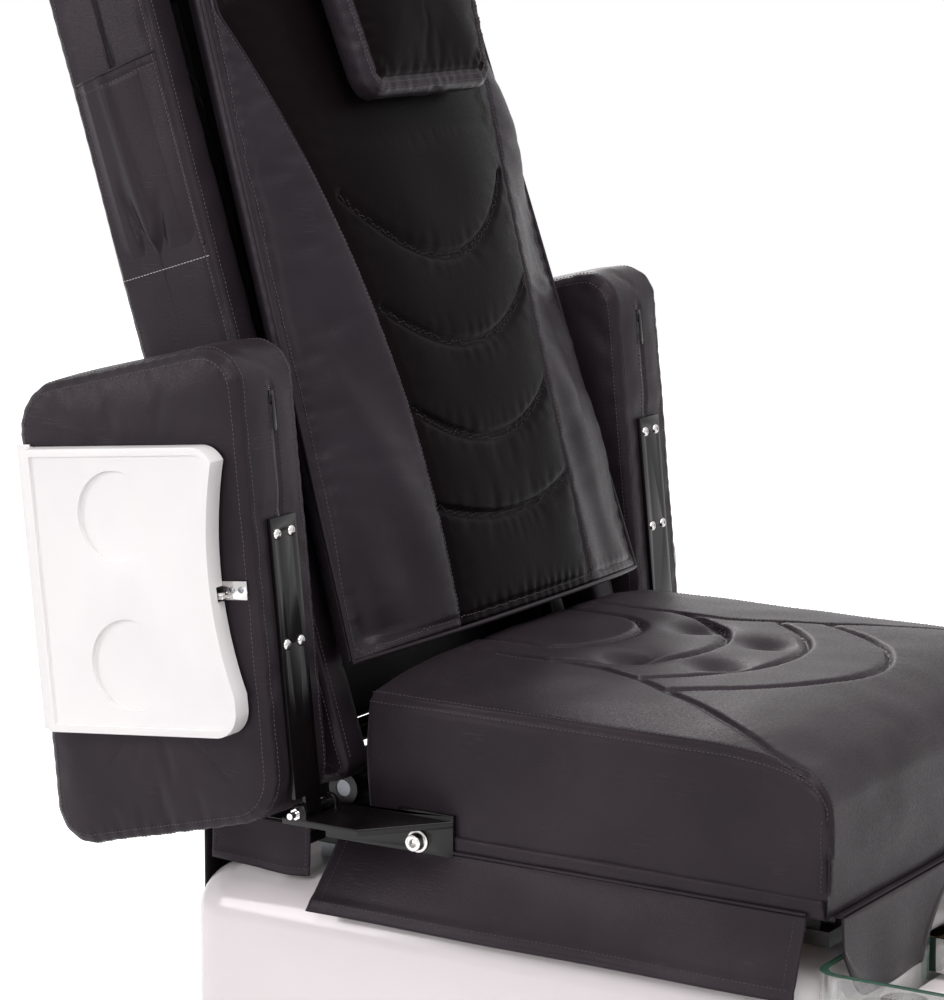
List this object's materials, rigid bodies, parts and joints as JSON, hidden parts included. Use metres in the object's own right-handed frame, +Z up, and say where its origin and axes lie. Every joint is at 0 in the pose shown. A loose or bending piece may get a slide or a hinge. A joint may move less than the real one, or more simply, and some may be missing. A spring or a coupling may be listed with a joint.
{
  "type": "pedicure spa chair",
  "caption": "Padded massage chair with lift-up arms, folding side trays and a reclining back, on a moulded pedestal with a glass foot basin.",
  "frame": {"origin": "on the floor at the middle of the base", "axes": "+Z up; the sitter faces -Y; +X is on the sitter's left"},
  "size_m": [0.822, 1.3881, 1.3719],
  "materials": {
    "gelcoat": "glossy moulded shell",
    "white_plastic": "semi-gloss moulded",
    "glass": "clear float glass, polished edges",
    "chrome": "bright plated",
    "steel": "zinc-plated steel",
    "black_steel": "gloss black powder coat",
    "leather": "pebbled synthetic leather",
    "leather_dark": "smooth black synthetic leather",
    "plywood": "unfinished birch plywood",
    "rubber": "matt"
  },
  "bodies": {
    "base": {"base_shell": "gelcoat", "levelling_feet": "rubber", "glass_basin": "glass", "basin_drain": "chrome", "spout": "chrome", "spout_housing": "gelcoat", "mixer_body": "chrome", "spray_holder": "chrome", "jet_cover": "white_plastic", "footrest_bracket": "chrome", "slide_rails": "steel", "rear_skirt": "leather"},
    "stopper": {"drain_stopper": "chrome"},
    "mixer": {"mixer_lever": "chrome"},
    "handset": {"spray_handset": "chrome"},
    "impeller": {"jet_impeller": "steel"},
    "footrest": {"footrest_pad": "leather"},
    "seat": {"seat_carriage": "black_steel", "seat_pan": "plywood", "seat_cushion": "leather", "side_flaps": "leather", "rear_flaps": "leather", "front_flap": "leather", "arm_bracket_right": "black_steel", "arm_bracket_left": "black_steel", "bracket_bolts": "chrome", "arm_pivot_bolts": "chrome", "recline_pins": "steel", "actuator_body": "steel"},
    "recline_rod": {"actuator_rod": "chrome"},
    "back": {"back_side_right": "leather", "back_side_left": "leather", "back_panel": "leather_dark", "back_frame": "black_steel", "massage_rails": "steel", "massage_cover": "leather_dark", "head_pillow": "leather", "side_pocket": "leather"},
    "massage_unit": {"massage_carriage": "black_steel"},
    "rollers": {"massage_rollers": "white_plastic"},
    "arm_right": {"arm_pad_right": "leather", "arm_plate_right": "black_steel", "plate_screws_right": "chrome", "tray_hinge_right": "white_plastic", "tray_screws_right": "chrome", "stay_plate_right": "chrome"},
    "tray_right": {"tray_right": "white_plastic"},
    "stay_long_right": {"stay_long_link_right": "chrome"},
    "stay_short_right": {"stay_short_link_right": "chrome"},
    "arm_left": {"arm_pad_left": "leather", "arm_plate_left": "black_steel", "plate_screws_left": "chrome", "tray_hinge_left": "white_plastic", "tray_screws_left": "chrome", "stay_plate_left": "chrome"},
    "tray_left": {"tray_left": "white_plastic"},
    "stay_long_left": {"stay_long_link_left": "chrome"},
    "stay_short_left": {"stay_short_link_left": "chrome"}
  },
  "joints": [
    {"name": "seat_slide", "type": "slide", "parent": "base", "child": "seat", "axis": [0, -1, 0], "range_m": [0, 0.1]},
    {"name": "recline", "type": "hinge", "parent": "seat", "child": "back", "pos_m": [0, 0.46015, 0.52977], "axis": [-1, 0, 0], "range_deg": [0, 30]},
    {"name": "recline_rod_slide", "type": "slide", "parent": "seat", "child": "recline_rod", "axis": [0, -1, 0], "range_m": [0, 0.025]},
    {"name": "massage_lift", "type": "slide", "parent": "back", "child": "massage_unit", "axis": [0, 0.3024, 0.9532], "range_m": [0, 0.38]},
    {"name": "roller_turn", "type": "hinge", "parent": "massage_unit", "child": "rollers", "pos_m": [0, 0.54413, 0.778], "axis": [1, 0, 0], "continuous": true},
    {"name": "footrest_tilt", "type": "hinge", "parent": "base", "child": "footrest", "pos_m": [0, -0.5, 0.47], "axis": [1, 0, 0], "range_deg": [-20, 20]},
    {"name": "mixer_turn", "type": "hinge", "parent": "base", "child": "mixer", "pos_m": [0.19, -0.1043, 0.36], "axis": [0, 1, 0], "range_deg": [-50, 50]},
    {"name": "stopper_lift", "type": "slide", "parent": "base", "child": "stopper", "axis": [0, 0, 1], "range_m": [0, 0.012]},
    {"name": "handset_lift", "type": "slide", "parent": "base", "child": "handset", "axis": [0, 0, 1], "range_m": [0, 0.05]},
    {"name": "impeller_spin", "type": "hinge", "parent": "base", "child": "impeller", "pos_m": [0, -0.074, 0.262], "axis": [0, 1, 0], "continuous": true},
    {"name": "arm_right_lift", "type": "hinge", "parent": "seat", "child": "arm_right", "pos_m": [-0.34, 0.42646, 0.53887], "axis": [1, 0, 0], "range_deg": [0, 95.86]},
    {"name": "tray_right_fold", "type": "hinge", "parent": "arm_right", "child": "tray_right", "pos_m": [-0.3945, 0.68229, 0.72684], "axis": [0, -0.1021, -0.9948], "range_deg": [0, 90]},
    {"name": "stay_long_right_turn", "type": "hinge", "parent": "arm_right", "child": "stay_long_right", "pos_m": [-0.3956, 0.4781, 0.74528], "axis": [0, -0.1021, -0.9948], "range_deg": [-17.5, 0]},
    {"name": "stay_short_right_turn", "type": "hinge", "parent": "tray_right", "child": "stay_short_right", "pos_m": [-0.3956, 0.56297, 0.73958], "axis": [0, -0.1021, -0.9948], "range_deg": [0, 32.5]},
    {"name": "arm_left_lift", "type": "hinge", "parent": "seat", "child": "arm_left", "pos_m": [0.34, 0.42646, 0.53887], "axis": [1, 0, 0], "range_deg": [0, 95.86]},
    {"name": "tray_left_fold", "type": "hinge", "parent": "arm_left", "child": "tray_left", "pos_m": [0.3945, 0.68229, 0.72684], "axis": [0, 0.1021, 0.9948], "range_deg": [0, 90]},
    {"name": "stay_long_left_turn", "type": "hinge", "parent": "arm_left", "child": "stay_long_left", "pos_m": [0.3956, 0.4781, 0.74528], "axis": [0, 0.1021, 0.9948], "range_deg": [-17.5, 0]},
    {"name": "stay_short_left_turn", "type": "hinge", "parent": "tray_left", "child": "stay_short_left", "pos_m": [0.3956, 0.56297, 0.73958], "axis": [0, 0.1021, 0.9948], "range_deg": [0, 32.5]}
  ],
  "couplings": [
    {"joint": "recline_rod_slide", "follows": "recline", "m_per_rad": 0.0468},
    {"joint": "stay_long_right_turn", "follows": "tray_right_fold", "ratio": -0.1893},
    {"joint": "stay_short_right_turn", "follows": "tray_right_fold", "ratio": 0.3556},
    {"joint": "stay_long_left_turn", "follows": "tray_left_fold", "ratio": -0.1893},
    {"joint": "stay_short_left_turn", "follows": "tray_left_fold", "ratio": 0.3556}
  ]
}
